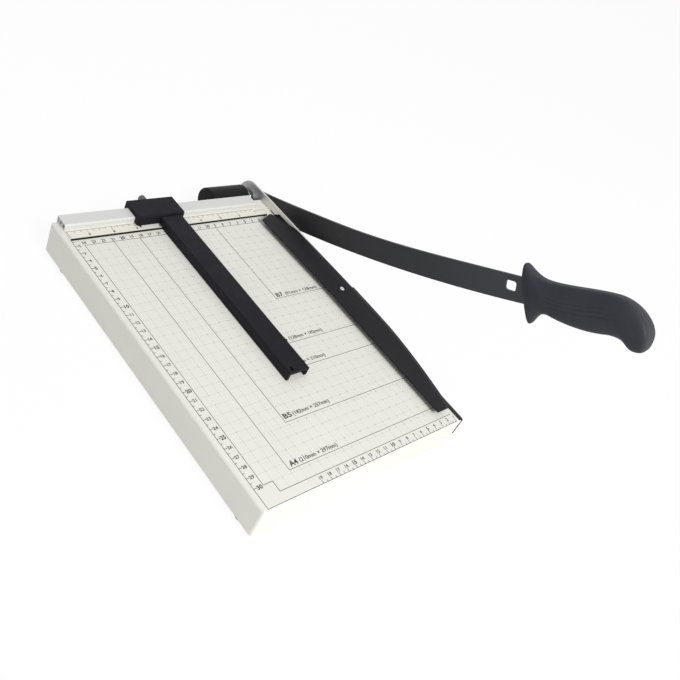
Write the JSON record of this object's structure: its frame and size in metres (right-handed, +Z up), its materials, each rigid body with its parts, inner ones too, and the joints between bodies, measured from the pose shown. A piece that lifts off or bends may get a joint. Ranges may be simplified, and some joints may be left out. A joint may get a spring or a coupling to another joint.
{
  "type": "lever paper cutter",
  "caption": "Lever paper cutter: folded steel base with a printed board, back fence with sliding gauge, finger guard, and a curved blade with a handle on a sprung pivot.",
  "frame": {"origin": "middle of the whole object at rest, on the surface that it stands on", "axes": "+Z up, -Y towards the user at the handle's end, +X to the blade's side"},
  "size_m": [0.2678, 0.464, 0.2395],
  "materials": {
    "ivory_powder_coat": "fine satin powder coat with a printed grid on the top",
    "black_rubber": "matt",
    "blued_steel": "satin black with a bright ground edge",
    "ivory_rail": "satin coat on an extruded rail",
    "black_strip": "matt",
    "bright_steel": "plated, fine brushed",
    "black_housing": "moulded, fine grain",
    "guard_plastic": "moulded, satin",
    "gauge_plastic": "moulded, satin",
    "nickel": "nickel plate",
    "black_blade": "satin black steel with a ground bevel",
    "grip_plastic": "moulded, fine grain",
    "black_screws": "black oxide",
    "zinc_fasteners": "zinc plate"
  },
  "bodies": {
    "base": {"base_tray": "ivory_powder_coat", "base_walls": "ivory_powder_coat", "base_returns": "ivory_powder_coat", "rubber_feet": "black_rubber", "foot_screws": "zinc_fasteners", "foot_nuts": "zinc_fasteners", "bed_knife": "blued_steel", "knife_screws": "zinc_fasteners", "knife_nuts": "zinc_fasteners", "fence_rail": "ivory_rail", "fence_strip": "black_strip", "fence_screws": "zinc_fasteners", "pivot_plate": "bright_steel", "plate_screws": "zinc_fasteners", "plate_nuts": "zinc_fasteners", "pivot_housing": "black_housing", "housing_cap": "black_housing", "housing_screws": "black_screws", "housing_nuts": "zinc_fasteners", "pivot_shaft": "zinc_fasteners", "shaft_washers": "zinc_fasteners", "pressure_spring": "zinc_fasteners", "shaft_nut": "zinc_fasteners", "finger_guard": "guard_plastic", "guard_screw": "zinc_fasteners"},
    "gauge": {"gauge_saddle": "gauge_plastic", "gauge_arm": "gauge_plastic", "gauge_screws": "zinc_fasteners"},
    "thumb": {"thumb_screw": "nickel"},
    "blade": {"blade_arm": "black_blade", "grip_inner": "grip_plastic", "grip_outer": "grip_plastic", "grip_screws": "zinc_fasteners"}
  },
  "joints": [
    {"name": "blade_swing", "type": "hinge", "parent": "base", "child": "blade", "pos_m": [0.1211, 0.21349, 0.0256], "axis": [-1, 0, 0], "range_deg": [-23, 48.5]},
    {"name": "gauge_slide", "type": "slide", "parent": "base", "child": "gauge", "axis": [1, 0, 0], "range_m": [-0.07, 0.046]},
    {"name": "thumb_turn", "type": "hinge", "parent": "gauge", "child": "thumb", "pos_m": [-0.03065, 0.20219, 0.041], "axis": [0, 1, 0], "range_deg": [-180, 180]}
  ]
}
